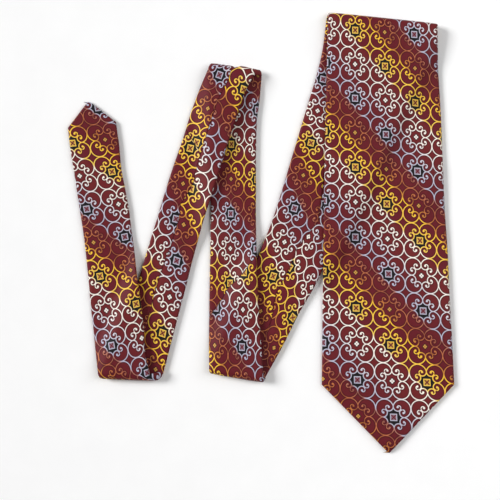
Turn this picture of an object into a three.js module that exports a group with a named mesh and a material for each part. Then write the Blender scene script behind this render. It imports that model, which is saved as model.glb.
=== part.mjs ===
// A wide, lined necktie with a self-fabric keeper loop, lying on a table and
// folded four times so that its five runs make a zigzag.
//
// Units are millimetres. X is to the right, Y runs up the page, Z is up from
// the table. The origin is on the table under the middle of the folded tie.
//
// Every run is a flat tube of silk: one panel wrapped round an interlining,
// with its two long edges meeting over the centre of the back, where a slip
// stitch closes them. The runs that lie face up have that seam underneath.

import * as THREE from 'three';

// ---------------------------------------------------------------- dimensions

const THICK = 3.4;            // whole tie: two silk walls and what is between
const WALL = 0.6;             // silk, with its turned edge
const LINING_IN = 0.9;        // interlining: depth of its front face
const LINING_OUT = 2.0;       // interlining: depth of its back face
const LINING_INSET = 1.6;     // interlining: distance in from the tie's edge
const TIPPING_IN = 2.2;       // tipping: depth of its front face
const TIPPING_OUT = 2.5;      // tipping: depth of its back face
const SLIT = 0.5;             // half the gap between the two back edges
const THREAD_HALF = 0.2;      // half the width of the slip stitch
const THREAD_IN = 2.9;        // slip stitch and bar tacks: depth from the face
const THREAD_OUT = 3.3;
const TACK_HALF = 1.5;        // half the length of a bar tack
const BLADE_HEM = 12;         // turned hem on each side of the blade's opening
const TAIL_HEM = 7;           // the same at the tail
const LOOP_HALF = 30;         // half the length of the keeper loop
const LOOP_IN = 3.7;          // keeper loop: depth range behind the tie's back
const LOOP_OUT = 4.3;
const LOOP_TACK = 1.2;        // width of the stitching at each end of the loop
const FOLD_OUT = 4.7;         // outside radius of a fold
const FOLD_IN = 1.3;          // inside radius of a fold
const SEAM_GAP = 0.006;       // half of a piecing seam, as part of a station

// Stations along each run: left x, left y, right x, right y, and the height of
// the underside above the table. A run lies on its neighbour beside a fold,
// and comes down to the table where it has cleared it.

const UPPER_BLADE_STATIONS = [
  [52.87, 175.40, 142.68, 165.97, 0.0],
  [46.33, 127.92, 121.77, 121.36, 0.0],
  [32.39, 83.64, 98.81, 73.80, 0.0],
  [17.63, 34.44, 75.44, 22.96, 0.0],
  [0.00, -14.76, 52.89, -24.60, 0.0],
  [-18.04, -59.86, 30.34, -69.70, 0.0],
  [-38.54, -110.95, 4.51, -118.74, 0.0],
];
const BLADE_END_STATIONS = [
  [54.86, 174.99, 144.98, 165.56, 6.0],
  [53.71, 126.28, 147.19, 118.08, 4.8],
  [52.73, 67.24, 149.65, 63.14, 4.8],
  [52.07, 16.40, 151.29, 13.94, 4.8],
  [51.41, -31.16, 154.32, -32.80, 4.2],
  [51.09, -72.16, 156.46, -73.80, 1.2],
  [50.43, -124.64, 159.08, -124.64, 0.0],
  [103.32, -180.40, 108.24, -180.40, 0.0],
];
const NECK_RUN_STATIONS = [
  [-41.82, -110.62, 2.21, -118.33, 6.0],
  [-41.82, -88.56, 0.08, -70.52, 4.2],
  [-41.41, -69.45, -2.87, -20.99, 3.8],
  [-41.74, -24.60, -3.69, 14.76, 0.0],
  [-41.41, 26.24, -3.69, 42.64, 0.0],
  [-41.16, 83.64, -2.87, 87.74, 0.0],
  [-40.34, 132.18, 0.00, 126.85, 0.0],
];
const TAIL_RUN_STATIONS = [
  [-42.39, 132.43, -5.08, 127.10, 6.0],
  [-61.09, 84.05, -9.27, 119.31, 4.3],
  [-70.93, 57.40, -23.21, 83.64, 3.9],
  [-82.41, 20.50, -43.05, 21.32, 3.8],
  [-93.07, -16.40, -53.71, -14.76, 0.0],
  [-103.57, -47.56, -62.73, -47.56, 0.0],
  [-116.85, -82.00, -71.75, -82.82, 0.0],
  [-129.97, -115.54, -81.02, -116.60, 0.0],
];
const TAIL_END_STATIONS = [
  [-133.82, -114.96, -90.61, -116.44, 6.0],
  [-137.35, -88.56, -94.46, -92.66, 4.3],
  [-140.63, -55.76, -97.74, -58.22, 3.8],
  [-142.68, -28.70, -101.11, -29.52, 3.8],
  [-147.19, 8.20, -107.01, 8.20, 0.0],
  [-151.29, 34.44, -111.11, 32.80, 0.0],
  [-154.90, 56.58, -115.05, 56.58, 0.0],
  [-159.08, 84.87, -118.49, 90.53, 0.0],
  [-143.65, 106.60, -139.25, 106.60, 0.0],
];

// Outer edge of each fold on the table plane, left end and right end, and the
// side that the cloth turns round on: +1 up the page, -1 down it.

const BLADE_FOLD = { line: [[54.94, 180.40], [144.73, 170.97]], side: 1 };
const NECK_FOLD = { line: [[-41.00, -115.95], [2.71, -123.82]], side: -1 };
const TAIL_FOLD = { line: [[-40.59, 137.60], [-0.82, 132.18]], side: 1 };
const TAIL_END_FOLD = { line: [[-132.02, -120.54], [-84.46, -122.18]], side: -1 };

// ------------------------------------------------------------------ materials

const silk = () => new THREE.MeshStandardMaterial({ color: 0x6d2f30, roughness: 0.45, metalness: 0 });
const wool = () => new THREE.MeshStandardMaterial({ color: 0xd9d2c0, roughness: 0.95, metalness: 0 });
const tippingSilk = () => new THREE.MeshStandardMaterial({ color: 0x5a1f2b, roughness: 0.4, metalness: 0 });
const thread = () => new THREE.MeshStandardMaterial({ color: 0x4a1a22, roughness: 0.7, metalness: 0 });

// ------------------------------------------------------------------- the runs

// A run's rails: its left and right edges as smooth curves through the
// stations. A pointed end is a straight last segment. faceUp says whether the
// silk's face or its seamed back is on top.

function makeRun(stations, { faceUp, pointed = false, slit = () => SLIT }) {
  const last = stations.length - 1;
  const smooth = pointed ? last : last + 1;
  const curve = (i) => new THREE.CatmullRomCurve3(
    stations.slice(0, smooth).map((s) => new THREE.Vector3(s[i], s[i + 1], 0)), false, 'centripetal');
  const curves = [curve(0), curve(2)];
  const rail = (side, t) => {
    const i = side * 2;
    if (pointed && t >= last - 1) {
      const k = t - (last - 1);
      const a = stations[last - 1], b = stations[last];
      return new THREE.Vector3(a[i] + (b[i] - a[i]) * k, a[i + 1] + (b[i + 1] - a[i + 1]) * k, 0);
    }
    return curves[side].getPoint(Math.min(1, Math.max(0, t / (smooth - 1))));
  };
  const height = (t) => {
    const i = Math.min(last - 1, Math.floor(t));
    const k = t - i;
    return stations[i][4] + (stations[i + 1][4] - stations[i][4]) * k * k * (3 - 2 * k);
  };
  return { last, rail, height, faceUp, slit };
}

const halfWidth = (run, t) => run.rail(0, t).distanceTo(run.rail(1, t)) / 2;
const ramp = (t, a, b, from, to) => from + (to - from) * Math.min(1, Math.max(0, (t - a) / (b - a)));

const upperBlade = makeRun(UPPER_BLADE_STATIONS, { faceUp: false });
const neckRun = makeRun(NECK_RUN_STATIONS, { faceUp: true });
const tailRun = makeRun(TAIL_RUN_STATIONS, { faceUp: false });
const bladeEnd = makeRun(BLADE_END_STATIONS, {
  faceUp: true, pointed: true,
  slit: (t) => (t <= 6 ? ramp(t, 5, 6, SLIT, 54.3 - BLADE_HEM) : ramp(t, 6, 7, 54.3 - BLADE_HEM, 0.9)),
});
const tailEnd = makeRun(TAIL_END_STATIONS, {
  faceUp: true, pointed: true,
  slit: (t) => (t <= 7 ? ramp(t, 6, 7, SLIT, 20.4 - TAIL_HEM) : ramp(t, 7, 8, 20.4 - TAIL_HEM, 0.7)),
});

// Profile points are written as [place, depth]. Depth is measured from the
// silk's face towards its back. A place is a distance from the middle of the
// run, or EDGE less an inset from the run's edge, or the edge of the back slit.

const EDGE = 1000;
const SLIT_EDGE = 500;

function placeAcross(run, t, x) {
  const size = Math.abs(x), sign = Math.sign(x);
  if (size > 900) return sign * (halfWidth(run, t) - (EDGE - size));
  if (size === SLIT_EDGE) return sign * run.slit(t);
  return x;
}

// Extrudes a profile along part of a run, from station t0 to station t1.

function alongRun(run, profile, t0, t1, perStation = 3) {
  const ts = [t0];
  for (let i = Math.floor(t0 * perStation) + 1; i / perStation < t1 - 1e-3; i++) {
    if (i / perStation > t0 + 1e-3) ts.push(i / perStation);
  }
  ts.push(t1);
  const shape = new THREE.Shape(profile.map(([x, y]) => new THREE.Vector2(x, y)));
  const steps = ts.length - 1;
  const geometry = new THREE.ExtrudeGeometry(shape, { depth: steps, steps, bevelEnabled: false });
  const p = geometry.attributes.position;
  for (let i = 0; i < p.count; i++) {
    const t = ts[Math.round(p.getZ(i))];
    const left = run.rail(0, t), right = run.rail(1, t);
    const middle = left.clone().add(right).multiplyScalar(0.5);
    const across = right.clone().sub(left).normalize();
    const place = middle.addScaledVector(across, placeAcross(run, t, p.getX(i)));
    const depth = p.getY(i);
    p.setXYZ(i, place.x, place.y, run.height(t) + (run.faceUp ? THICK - depth : depth));
  }
  return facingOut(geometry);
}

// Turns a closed geometry's triangles round if they face inwards.

function facingOut(geometry) {
  const g = geometry.index ? geometry.toNonIndexed() : geometry;
  const p = g.attributes.position;
  const a = new THREE.Vector3(), b = new THREE.Vector3(), c = new THREE.Vector3();
  let volume = 0;
  for (let i = 0; i < p.count; i += 3) {
    a.fromBufferAttribute(p, i); b.fromBufferAttribute(p, i + 1); c.fromBufferAttribute(p, i + 2);
    volume += a.dot(b.clone().cross(c));
  }
  if (volume < 0) {
    for (let i = 0; i < p.count; i += 3) {
      b.fromBufferAttribute(p, i + 1); c.fromBufferAttribute(p, i + 2);
      p.setXYZ(i + 1, c.x, c.y, c.z);
      p.setXYZ(i + 2, b.x, b.y, b.z);
    }
  }
  g.computeVertexNormals();
  return g;
}

// The silk's section: face, both rounded edges, and two back flaps with the
// slit between them.

const SHELL = (() => {
  const T = THICK, W = WALL;
  const outer = [[SLIT_EDGE, T], [EDGE - 1.0, T], [EDGE - 0.3, T - 0.4], [EDGE, T - 1.2], [EDGE, 1.2], [EDGE - 0.3, 0.4], [EDGE - 1.0, 0]];
  const inner = [[SLIT_EDGE, T - W], [EDGE - 1.2, T - W], [EDGE - W, T - 1.4], [EDGE - W, 1.4], [EDGE - 1.2, W]];
  const mirror = (pts) => pts.map(([x, y]) => [-x, y]).reverse();
  return [...outer, ...mirror(outer), ...inner.map(([x, y]) => [-x, y]), ...inner.slice().reverse()];
})();

const slab = (half, from, to) => [[-half, from], [half, from], [half, to], [-half, to]];
const LINING = slab(EDGE - LINING_INSET, LINING_IN, LINING_OUT);
const TIPPING = slab(EDGE - LINING_INSET, TIPPING_IN, TIPPING_OUT);
const STITCH = slab(THREAD_HALF, THREAD_IN, THREAD_OUT);
const TACK = slab(TACK_HALF, THREAD_IN, THREAD_OUT);
const LOOP = slab(LOOP_HALF, LOOP_IN, LOOP_OUT);
const SEAM_THREAD = slab(EDGE - 4, TIPPING_IN, TIPPING_OUT);

// A fold: a half ring of cloth, extruded along the fold's line.

function foldGeometry() {
  const shape = new THREE.Shape();
  shape.absarc(0, 0, FOLD_OUT, -Math.PI / 2, Math.PI / 2, false);
  shape.absarc(0, 0, FOLD_IN, Math.PI / 2, -Math.PI / 2, true);
  return shape;
}

function foldMesh(name, { line, side }) {
  const a = new THREE.Vector3(...line[0], 0), b = new THREE.Vector3(...line[1], 0);
  const along = b.clone().sub(a);
  const length = along.length();
  along.normalize();
  const up = new THREE.Vector3(0, 0, 1);
  const outward = new THREE.Vector3(-along.y, along.x, 0).multiplyScalar(side);
  const run = outward.clone().cross(up);
  const start = run.dot(along) > 0 ? a : b;
  const geometry = new THREE.ExtrudeGeometry(foldGeometry(), { depth: length, steps: 4, curveSegments: 12, bevelEnabled: false });
  const mesh = new THREE.Mesh(geometry, silk());
  mesh.name = name;
  const corner = start.clone().addScaledVector(outward, -FOLD_OUT).setZ(FOLD_OUT);
  mesh.applyMatrix4(new THREE.Matrix4().makeBasis(outward, up, run).setPosition(corner));
  return mesh;
}

// ------------------------------------------------------------------ the parts

const tie = new THREE.Group();
tie.name = 'necktie';

function add(parent, name, geometry, material) {
  const mesh = new THREE.Mesh(geometry, material);
  mesh.name = name;
  parent.add(mesh);
}

// Blade end: the wide pointed run, face up on top of the next one.
const bladeEndGroup = new THREE.Group();
add(bladeEndGroup, 'blade_end_shell', alongRun(bladeEnd, SHELL, 0, 7), silk());
add(bladeEndGroup, 'blade_end_interlining', alongRun(bladeEnd, LINING, 0.02, 6.94), wool());
add(bladeEndGroup, 'blade_tipping', alongRun(bladeEnd, TIPPING, 4.6, 6.9), tippingSilk());
add(bladeEndGroup, 'blade_end_slip_stitch', alongRun(bladeEnd, STITCH, 0.02, 5), thread());
add(bladeEndGroup, 'blade_bar_tack', alongRun(bladeEnd, TACK, 5.05, 5.08), thread());
add(bladeEndGroup, 'keeper_loop', alongRun(bladeEnd, LOOP, 2.376, 2.656), silk());
add(bladeEndGroup, 'keeper_loop_tack_left', alongRun(bladeEnd,
  [[-LOOP_HALF - 0.3 - LOOP_TACK, LOOP_IN], [-LOOP_HALF - 0.3, LOOP_IN], [-LOOP_HALF - 0.3, LOOP_OUT], [-LOOP_HALF - 0.3 - LOOP_TACK, LOOP_OUT]],
  2.376, 2.656), thread());
add(bladeEndGroup, 'keeper_loop_tack_right', alongRun(bladeEnd,
  [[LOOP_HALF + 0.3, LOOP_IN], [LOOP_HALF + 0.3 + LOOP_TACK, LOOP_IN], [LOOP_HALF + 0.3 + LOOP_TACK, LOOP_OUT], [LOOP_HALF + 0.3, LOOP_OUT]],
  2.376, 2.656), thread());
tie.add(bladeEndGroup);

// Upper blade: the run that everything else lies on, seamed side up.
const upperBladeGroup = new THREE.Group();
add(upperBladeGroup, 'upper_blade_shell', alongRun(upperBlade, SHELL, 0, 6), silk());
add(upperBladeGroup, 'upper_blade_interlining', alongRun(upperBlade, LINING, 0.02, 5.98), wool());
add(upperBladeGroup, 'upper_blade_slip_stitch', alongRun(upperBlade, STITCH, 0.02, 5.98), thread());
upperBladeGroup.add(foldMesh('blade_fold', BLADE_FOLD));
upperBladeGroup.add(foldMesh('neck_fold', NECK_FOLD));
tie.add(upperBladeGroup);

// Neck run: face up, with the blade panel joined to the neck panel on the
// slant at station 2.
const neckGroup = new THREE.Group();
add(neckGroup, 'neck_run_blade_panel', alongRun(neckRun, SHELL, 0, 2 - SEAM_GAP), silk());
add(neckGroup, 'neck_run_neck_panel', alongRun(neckRun, SHELL, 2 + SEAM_GAP, 6), silk());
add(neckGroup, 'neck_run_interlining', alongRun(neckRun, LINING, 0.02, 5.98), wool());
add(neckGroup, 'neck_run_slip_stitch', alongRun(neckRun, STITCH, 0.02, 5.98), thread());
add(neckGroup, 'blade_neck_seam_thread', alongRun(neckRun, SEAM_THREAD, 2 - SEAM_GAP, 2 + SEAM_GAP), thread());
neckGroup.add(foldMesh('tail_fold', TAIL_FOLD));
tie.add(neckGroup);

// Tail run: seamed side up, with the neck panel joined to the tail panel on
// the slant at station 1.
const tailRunGroup = new THREE.Group();
add(tailRunGroup, 'tail_run_neck_panel', alongRun(tailRun, SHELL, 0, 1 - SEAM_GAP), silk());
add(tailRunGroup, 'tail_run_tail_panel', alongRun(tailRun, SHELL, 1 + SEAM_GAP, 7), silk());
add(tailRunGroup, 'tail_run_interlining', alongRun(tailRun, LINING, 0.04, 6.98), wool());
add(tailRunGroup, 'tail_run_slip_stitch', alongRun(tailRun, STITCH, 0.02, 6.98), thread());
add(tailRunGroup, 'neck_tail_seam_thread', alongRun(tailRun, SEAM_THREAD, 1 - SEAM_GAP, 1 + SEAM_GAP), thread());
tailRunGroup.add(foldMesh('tail_end_fold', TAIL_END_FOLD));
tie.add(tailRunGroup);

// Tail end: the narrow pointed run, face up.
const tailEndGroup = new THREE.Group();
add(tailEndGroup, 'tail_end_shell', alongRun(tailEnd, SHELL, 0, 8), silk());
add(tailEndGroup, 'tail_end_interlining', alongRun(tailEnd, LINING, 0.02, 7.9), wool());
add(tailEndGroup, 'tail_tipping', alongRun(tailEnd, TIPPING, 5.6, 7.85), tippingSilk());
add(tailEndGroup, 'tail_end_slip_stitch', alongRun(tailEnd, STITCH, 0.02, 6), thread());
add(tailEndGroup, 'tail_bar_tack', alongRun(tailEnd, TACK, 6.12, 6.16), thread());
tie.add(tailEndGroup);

export default tie;
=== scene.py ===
"""A wide silk necktie lying folded in a zigzag, seen from straight above.

One strip of cloth runs from the blade's point to the tail's point. It is swept
as a closed tube with two back flaps, over five flat runs and four folds, and
then cut in the middle of three runs, so that each length of cloth crosses one
fold and bends there.
"""
import math

import bpy
import numpy as np
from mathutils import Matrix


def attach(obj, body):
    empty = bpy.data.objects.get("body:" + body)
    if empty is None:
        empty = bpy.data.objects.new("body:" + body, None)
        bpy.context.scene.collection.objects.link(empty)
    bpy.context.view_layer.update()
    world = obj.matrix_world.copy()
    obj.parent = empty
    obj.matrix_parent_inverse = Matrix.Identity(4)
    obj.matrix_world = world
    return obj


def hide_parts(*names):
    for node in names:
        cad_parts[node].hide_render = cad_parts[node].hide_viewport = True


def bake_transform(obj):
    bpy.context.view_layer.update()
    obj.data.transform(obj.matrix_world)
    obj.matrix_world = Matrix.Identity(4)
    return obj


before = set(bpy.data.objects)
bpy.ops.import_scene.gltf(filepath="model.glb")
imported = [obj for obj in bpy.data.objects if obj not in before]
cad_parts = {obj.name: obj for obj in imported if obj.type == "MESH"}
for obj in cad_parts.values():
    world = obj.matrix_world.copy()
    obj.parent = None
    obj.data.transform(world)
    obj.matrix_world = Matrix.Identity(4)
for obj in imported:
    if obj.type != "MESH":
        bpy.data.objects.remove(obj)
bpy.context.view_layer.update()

MM = 0.001

# ------------------------------------------------------------------ the tie

THICK = 3.4          # the whole tie
SILK = 0.45          # one layer of silk
ROUND = 2.0          # how far a rolled edge reaches in from the tie's edge
RING = 4.7           # outside radius of a fold
OVERLAP = 5.0        # how far one back flap goes under the other

# Edges of each run, in order from the blade's point to the tail's point:
# left x, left y, right x, right y, in millimetres.
RAILS = {
    "blade_end": [
        (104.9, -181.4, 106.4, -181.4),
        (50.3, -125.5, 159.4, -125.4),
        (50.6, -96.8, 158.0, -96.8),
        (50.9, -55.8, 155.7, -55.8),
        (51.4, -14.8, 153.8, -14.8),
        (51.9, 26.2, 151.1, 24.6),
        (52.6, 67.2, 149.6, 64.0),
        (53.4, 108.2, 148.0, 102.5),
        (54.2, 141.0, 146.0, 133.7),
        (54.9, 175.5, 144.9, 166.1),
    ],
    "upper_blade": [
        (54.2, 175.5, 143.0, 166.1),
        (50.8, 149.2, 134.1, 141.0),
        (47.1, 132.8, 124.2, 123.0),
        (39.8, 108.2, 112.8, 98.4),
        (32.4, 83.6, 101.3, 73.0),
        (25.0, 59.0, 89.8, 47.6),
        (17.6, 34.4, 78.3, 23.0),
        (9.7, 9.8, 66.8, -1.6),
        (-0.2, -14.8, 54.1, -25.4),
        (-9.8, -37.7, 43.5, -46.7),
        (-18.9, -59.9, 31.6, -67.2),
        (-28.7, -84.5, 19.3, -91.8),
        (-38.5, -111.4, 4.2, -119.2),
    ],
    "neck_run": [
        (-42.1, -111.3, 2.4, -119.1),
        (-42.4, -92.7, 0.6, -92.7),
        (-42.2, -68.1, -1.2, -65.6),
        (-41.9, -43.5, -2.4, -39.4),
        (-41.4, -18.9, -3.2, -14.8),
        (-41.2, 5.7, -3.7, 9.8),
        (-41.1, 34.4, -3.7, 36.1),
        (-41.1, 67.2, -3.5, 67.2),
        (-40.9, 91.8, -2.7, 91.8),
        (-40.8, 112.3, -0.4, 110.7),
        (-40.3, 133.0, 0.9, 127.1),
    ],
    "tail_run": [
        (-42.9, 133.2, -5.4, 127.8),
        (-50.3, 116.4, -13.2, 113.2),
        (-56.5, 100.0, -18.0, 98.4),
        (-64.2, 75.4, -26.1, 73.8),
        (-71.4, 54.9, -32.6, 53.3),
        (-79.3, 30.3, -40.3, 28.7),
        (-85.4, 9.8, -47.0, 8.2),
        (-90.6, -6.6, -51.6, -8.2),
        (-95.5, -23.0, -56.2, -24.6),
        (-100.9, -41.0, -60.6, -42.6),
        (-108.3, -60.7, -65.8, -62.3),
        (-117.2, -83.6, -71.8, -85.3),
        (-129.0, -115.2, -80.0, -116.8),
    ],
    "tail_end": [
        (-133.1, -115.1, -90.4, -116.8),
        (-135.7, -96.8, -94.4, -98.4),
        (-137.3, -80.4, -95.2, -81.2),
        (-139.2, -64.0, -97.0, -64.8),
        (-140.6, -47.6, -99.0, -48.4),
        (-142.2, -31.2, -101.3, -32.0),
        (-143.9, -14.8, -103.4, -15.6),
        (-146.2, 3.3, -106.2, 3.3),
        (-148.8, 19.7, -108.2, 19.7),
        (-151.3, 36.1, -111.3, 36.1),
        (-153.8, 52.5, -114.4, 53.3),
        (-156.2, 67.2, -116.0, 70.5),
        (-158.3, 85.6, -118.7, 90.4),
        (-142.0, 107.0, -140.1, 107.0),
    ],
}
FACE_UP = {"blade_end": True, "upper_blade": False, "neck_run": True, "tail_run": False, "tail_end": True}

# Folds in the same order: the run below, the run above, the way the cloth
# turns, and whether the silk's face is on the outside.
FOLDS = {
    "blade_fold": ("upper_blade", "blade_end", (0.1028, 0.9947), True),
    "neck_fold": ("upper_blade", "neck_run", (-0.1772, -0.9842), True),
    "tail_fold": ("neck_run", "tail_run", (0.1350, 0.9908), False),
    "tail_end_fold": ("tail_run", "tail_end", (-0.0345, -0.9994), True),
}

# The rounding of each fold's corners, left and right, how much further out it
# bulges, and where round the turn each edge goes over from one run to the other.
CORNERS = {
    "blade_fold": ((0.5, 0.5), 0.0, (0.0, 0.5), (0.0, 0.5)),
    "neck_fold": ((2.8, 2.4), 0.0, (0.0, 0.5), (0.5, 1.0)),
    "tail_fold": ((3.4, 3.2), 0.9, (0.0, 0.5), (0.42, 1.0)),
    "tail_end_fold": ((3.8, 6.6), 0.7, (0.0, 0.5), (0.5, 1.0)),
}

# Where the two back flaps meet, on the runs that lie seam up.
CENTRE_SEAM = {
    "upper_blade": [(63.5, 116.4), (58.6, 83.6), (52.9, 50.8), (47.6, 8.2), (41.4, 1.6), (34.9, -6.6), (29.1, -14.8),
                    (23.4, -30.3), (16.8, -42.6), (12.3, -51.7), (8.9, -72.2), (1.2, -92.7)],
    "tail_run": [(-22.9, 136.1), (-26.2, 124.6), (-33.2, 111.5), (-36.5, 103.3), (-40.2, 91.8), (-44.0, 79.9),
                 (-47.4, 69.7), (-50.4, 59.2), (-53.4, 49.8), (-54.9, 41.0), (-61.1, 29.5), (-65.7, 23.0),
                 (-67.0, 11.5), (-72.1, -5.7), (-75.4, -16.4), (-79.1, -24.6), (-86.5, -47.6), (-92.2, -72.2)],
}

# The slanted piecing seams: blade panel to neck panel on the neck run, and
# neck panel to tail panel on the tail run.
PIECING = {
    "neck_run": ((-41.4, -68.4), (-2.9, -18.6)),
    "tail_run": ((-61.1, 84.0), (-48.8, 64.0)),
}

# Where the woven cells sit on each panel: x, y, column, row.
CELLS = {
    "S5": ("quad", [
        (76.8, 164.1, 0, 0), (101.8, 135.9, 1, 1), (126.4, 105.3, 2, 2), (77.5, 53.1, 0, 4), (103.6, 23.3, 1, 5),
        (131.2, -6.3, 2, 6), (78.6, -62.9, 0, 8), (106.9, -93.2, 1, 9), (136.8, -123.7, 2, 10), (76.7, 136.5, 0, 1),
        (102.3, 108.1, 1, 2), (126.5, 77.5, 2, 3), (77.8, 24.5, 0, 5), (104.5, -5.7, 1, 6), (132.0, -35.5, 2, 7),
        (78.6, -91.8, 0, 9), (107.5, -122.4, 1, 10), (126.4, 161.0, 2, 0), (76.9, 109.5, 0, 2), (101.4, 78.9, 1, 3),
        (127.4, 49.6, 2, 4), (77.7, -4.9, 0, 6), (105.3, -34.8, 1, 7), (133.5, -64.9, 2, 8), (79.0, -121.3, 0, 10),
        (108.6, -152.2, 1, 11), (101.8, 163.2, 1, 0), (126.1, 133.2, 2, 1), (77.7, 81.8, 0, 3), (103.3, 51.9, 1, 4),
        (129.8, 21.9, 2, 5), (78.6, -33.2, 0, 7), (106.7, -63.7, 1, 8), (135.8, -93.8, 2, 9), (80.5, -150.3, 0, 11)]),
    "S1": ("quad", [
        (-154.1, 73.3, 0, 0), (-126.7, 75.6, 1, 0), (-148.9, 45.4, 0, 1), (-122.7, 49.7, 1, 1), (-136.9, -8.4, 0, 3),
        (-111.8, -4.7, 1, 3), (-131.0, -36.4, 0, 4), (-106.4, -30.2, 1, 4), (-126.3, -64.3, 0, 5), (-100.7, -59.0, 1, 5),
        (-122.0, -92.7, 0, 6), (-97.2, -86.8, 1, 6)]),
    "S3U": ("flat", [
        (-23.7, 72.3, 0, 0), (-24.5, 43.9, 0, -1), (-24.7, 15.8, 0, -2), (-24.7, -13.7, 0, -3), (-24.5, -43.5, 0, -4),
        (-1.6, 97.6, -1, 1), (-3.7, 45.9, -1, -1)]),
    "S3L": ("flat", [(-13.6, -33.5, 0, 0), (-14.3, -62.4, 0, 1), (-15.2, -94.5, 0, 2), (-37.5, -92.7, -1, 2)]),
    "S2LU": ("flat", [(-33.5, 127.9, 0, -2), (-43.0, 100.9, 0, -1), (-52.5, 73.3, 0, 0), (-28.5, 65.1, 1, 0), (-9.5, 119.7, 1, -2)]),
    "S2LL": ("flat", [(-57.2, 68.6, 0, 0), (-64.4, 39.9, 0, -1), (-69.0, 10.6, 0, -2), (-32.2, 62.9, -1, 0), (-44.0, 4.9, -1, -2)]),
    "S2R": ("flat", [(-56.4, 35.4, 0, 0), (-63.6, 6.3, 0, -1), (-69.1, -23.5, 0, -2), (-75.1, -53.1, 0, -3), (-79.7, -83.3, 0, -4),
                     (-13.7, 116.0, -1, 3)]),
    "S4L": ("bend", [(51.6, 126.3, 0, 2), (46.6, 98.7, 0, 1), (40.8, 73.1, 0, 0), (34.9, 46.8, 0, -1), (28.8, 20.0, 0, -2),
                     (19.8, -8.4, 0, -3), (10.2, -37.1, 0, -4), (26.7, 131.3, 1, 2), (16.0, 78.5, 1, 0), (4.4, 26.6, 1, -2),
                     (-13.9, -29.1, 1, -4)]),
    "S4R": ("flat", [(38.7, -4.9, 1, 2), (24.4, -27.6, 1, 1), (42.4, -44.8, 0, 1), (26.1, -70.4, 0, 0), (11.1, -95.4, 0, -1)]),
}


def ease(lo, hi, x):
    t = np.clip((np.asarray(x, float) - lo) / (hi - lo), 0, 1)
    return t * t * (3 - 2 * t)


def smooth_line(xs, ys, x):
    """A smooth curve through the points (xs, ys), at x."""
    xs, ys, x = np.asarray(xs, float), np.asarray(ys, float), np.asarray(x, float)
    h = np.diff(xs)[:, None]
    d = np.diff(ys, axis=0) / h
    m = np.empty_like(ys)
    m[0], m[-1] = d[0], d[-1]
    m[1:-1] = (d[:-1] * h[1:] + d[1:] * h[:-1]) / (h[1:] + h[:-1])
    i = np.clip(np.searchsorted(xs, x, side="right") - 1, 0, len(xs) - 2)
    t = ((x - xs[i]) / (xs[i + 1] - xs[i]))[:, None]
    hh = (xs[i + 1] - xs[i])[:, None]
    return ((2 * t**3 - 3 * t**2 + 1) * ys[i] + (t**3 - 2 * t**2 + t) * hh * m[i]
            + (-2 * t**3 + 3 * t**2) * ys[i + 1] + (t**3 - t**2) * hh * m[i + 1])


def stations(run, step=2.6):
    """Left and right edge points along a run, closer together than its table."""
    rails = np.array(RAILS[run])
    middle = (rails[:, :2] + rails[:, 2:]) / 2
    s = np.concatenate([[0], np.cumsum(np.linalg.norm(np.diff(middle, axis=0), axis=1))])
    tip_first, tip_last = run == "blade_end", run == "tail_end"
    lo, hi = (1 if tip_first else 0), (len(s) - 1 if tip_last else len(s))
    n = int(round((s[hi - 1] - s[lo]) / step))
    x = np.linspace(s[lo], s[hi - 1], n + 1)
    out = smooth_line(s[lo:hi], rails[lo:hi], x)
    if tip_first or tip_last:
        a, b = (rails[0], rails[1]) if tip_first else (rails[-2], rails[-1])
        m = int(round(np.linalg.norm((a[:2] + a[2:] - b[:2] - b[2:]) / 2) / 1.6))
        k = np.linspace(0, 1, m + 1)[:, None]
        tip = a + (b - a) * k
        out = np.vstack([tip[:-1], out]) if tip_first else np.vstack([out, tip[1:]])
    return out


class Ring:
    """One section of the strip, on a run or part way round a fold."""

    def __init__(self, run, fold, a, b, phi=0.0, low=None, up=None):
        self.run, self.fold, self.phi = run, fold, phi
        self.a, self.b = np.array(a, float), np.array(b, float)
        self.low, self.up = low, up
        self.w = np.linalg.norm(self.b - self.a) / 2
        self.c = 0.0          # where the back flaps meet
        self.g = 0.0          # half the opening between them
        self.tau = 1.0        # thickness, as part of the full one

    def frame(self, a=None, b=None):
        a = self.a if a is None else a
        b = self.b if b is None else b
        lat = (b - a) / max(1e-9, np.linalg.norm(b - a))
        return (a + b) / 2, lat


rings = []
first_ring, last_ring = {}, {}
NPHI = 13


def add_run(run):
    first_ring[run] = len(rings)
    for row in stations(run):
        rings.append(Ring(run, None, row[:2], row[2:]))
    last_ring[run] = len(rings) - 1


def add_fold(fold, low, up, rising):
    out = np.array(FOLDS[fold][2])
    for k in range(1, NPHI):
        phi = math.pi * k / NPHI
        if not rising:
            phi = math.pi - phi
        on_left, on_right = CORNERS[fold][2:]
        a = np.array(low[0]) + (np.array(up[0]) - np.array(low[0])) * ease(*on_left, phi / math.pi)
        b = np.array(low[1]) + (np.array(up[1]) - np.array(low[1])) * ease(*on_right, phi / math.pi)
        rings.append(Ring(None, fold, a, b, phi, low, up))
    return out


def end_of(run, which):
    row = RAILS[run][which]
    return (row[:2], row[2:])


add_run("blade_end")
add_fold("blade_fold", end_of("upper_blade", 0), end_of("blade_end", -1), False)
add_run("upper_blade")
add_fold("neck_fold", end_of("upper_blade", -1), end_of("neck_run", 0), True)
add_run("neck_run")
add_fold("tail_fold", end_of("neck_run", -1), end_of("tail_run", 0), True)
add_run("tail_run")
add_fold("tail_end_fold", end_of("tail_run", -1), end_of("tail_end", 0), True)
add_run("tail_end")
NR = len(rings)

# The point of each fold's ring plane, for distances along the cloth.
FOLD_AT = {f: (np.array(end_of(low, -1 if f != "blade_fold" else 0)[0]), np.array(out))
           for f, (low, up, out, _) in FOLDS.items()}

# ------------------------------------------------------------ how it lies


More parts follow.
